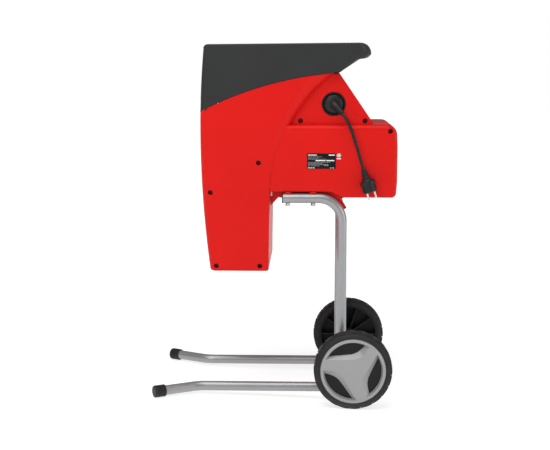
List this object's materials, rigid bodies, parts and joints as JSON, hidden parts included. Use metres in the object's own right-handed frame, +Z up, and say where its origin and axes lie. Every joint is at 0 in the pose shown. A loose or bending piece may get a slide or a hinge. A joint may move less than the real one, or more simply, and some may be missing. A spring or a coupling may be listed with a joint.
{
  "type": "wood chipper",
  "caption": "Electric garden shredder: a folding black feed hopper over a red cutter and motor housing with a down chute, on a silver tube frame with feet and wheels.",
  "frame": {"origin": "on the ground under the middle of the bounding box", "axes": "+Z up, +X towards the motor and the user's side, -X towards the feet and the discharge chute, -Y the side where the cord leaves"},
  "size_m": [0.6141, 0.4544, 0.9229],
  "materials": {
    "red_housing": "satin moulded red",
    "black_hopper": "fine grained black",
    "frame_silver": "silver powder coat",
    "zinc": "zinc plated",
    "black_screws": "black phosphate",
    "foot_rubber": "matt rubber",
    "black_trim": "smooth black",
    "tyre_black": "ribbed tread",
    "wheel_silver": "satin silver",
    "label_black": "printed film",
    "start_green": "smooth green",
    "stop_red": "smooth red",
    "blade_steel": "ground tool steel",
    "disc_steel": "oiled plate",
    "plate_steel": "galvanised sheet",
    "cast_alloy": "as cast",
    "belt_rubber": "toothed belt",
    "winding_copper": "enamelled copper on steel",
    "brush_brass": "bright",
    "fan_grey": "glass filled",
    "cord_rubber": "matt rubber"
  },
  "bodies": {
    "machine": {"left_frame_tube": "frame_silver", "right_frame_tube": "frame_silver", "left_foot_cap": "foot_rubber", "right_foot_cap": "foot_rubber", "tube_end_plugs": "black_trim", "cross_strut": "frame_silver", "strut_bolts": "zinc", "axle": "zinc", "left_axle_bracket": "frame_silver", "right_axle_bracket": "frame_silver", "axle_spacers": "black_trim", "axle_caps": "zinc", "left_shell": "red_housing", "right_shell": "red_housing", "shell_screws": "black_screws", "tube_saddles": "red_housing", "frame_screws": "zinc", "frame_nuts": "zinc", "rating_plate": "label_black", "hinge_pin": "zinc", "interlock_switch": "black_hopper", "switch_plate": "black_hopper", "throat_liner": "black_hopper", "counter_knife": "blade_steel", "bearing_plate": "plate_steel", "shaft_bearings": "blade_steel", "drive_belt": "belt_rubber", "motor_plate": "plate_steel", "motor_housing": "cast_alloy", "stator_core": "winding_copper", "brush_holders": "brush_brass", "cable_gland": "black_trim", "gland_boot": "cord_rubber", "power_cord": "cord_rubber", "plug": "cord_rubber", "plug_pins": "brush_brass"},
    "left_wheel": {"left_tyre": "tyre_black", "left_rim": "black_trim", "left_hub_cover": "wheel_silver"},
    "right_wheel": {"right_tyre": "tyre_black", "right_rim": "black_trim", "right_hub_cover": "wheel_silver"},
    "cutter": {"cutter_disc": "disc_steel", "knives": "blade_steel", "knife_screws": "black_screws", "disc_bolt": "black_screws", "cutter_shaft": "blade_steel", "cutter_pulley": "disc_steel"},
    "motor_rotor": {"armature": "winding_copper", "cooling_fan": "fan_grey", "motor_pulley": "cast_alloy"},
    "hopper_lid": {"hopper": "black_hopper", "feed_funnel": "black_hopper", "lock_tongue": "zinc"},
    "lock_screw": {"lock_knob": "black_hopper", "lock_stud": "zinc"},
    "start_key": {"start_button": "start_green"},
    "stop_key": {"stop_button": "stop_red"},
    "reset_key": {"reset_button": "black_trim"}
  },
  "joints": [
    {"name": "left_wheel_spin", "type": "hinge", "parent": "machine", "child": "left_wheel", "pos_m": [0.20705, -0.204, 0.1], "axis": [0, 1, 0], "continuous": true},
    {"name": "right_wheel_spin", "type": "hinge", "parent": "machine", "child": "right_wheel", "pos_m": [0.20705, 0.204, 0.1], "axis": [0, 1, 0], "continuous": true},
    {"name": "cutter_spin", "type": "hinge", "parent": "machine", "child": "cutter", "pos_m": [-0.07039, 0, 0.59969], "axis": [0.9993, 0, 0.0385], "continuous": true},
    {"name": "motor_spin", "type": "hinge", "parent": "machine", "child": "motor_rotor", "pos_m": [0.08534, 0, 0.66173], "axis": [0.9993, 0, 0.0385], "continuous": true},
    {"name": "hopper_open", "type": "hinge", "parent": "machine", "child": "hopper_lid", "pos_m": [-0.20472, 0, 0.73563], "axis": [0, -1, 0], "range_deg": [0, 80]},
    {"name": "lock_turn", "type": "hinge", "parent": "machine", "child": "lock_screw", "pos_m": [0.11758, 0.125, 0.81208], "axis": [0, 1, 0], "range_deg": [0, 720]},
    {"name": "start_press", "type": "slide", "parent": "machine", "child": "start_key", "axis": [-0.801, 0, -0.5987], "range_m": [0, 0.003], "stiffness_N_per_m": 400},
    {"name": "stop_press", "type": "slide", "parent": "machine", "child": "stop_key", "axis": [-0.801, 0, -0.5987], "range_m": [0, 0.003], "stiffness_N_per_m": 400},
    {"name": "reset_press", "type": "slide", "parent": "machine", "child": "reset_key", "axis": [-0.801, 0, -0.5987], "range_m": [0, 0.003], "stiffness_N_per_m": 400}
  ],
  "couplings": [
    {"joint": "motor_spin", "follows": "cutter_spin", "ratio": 4}
  ]
}
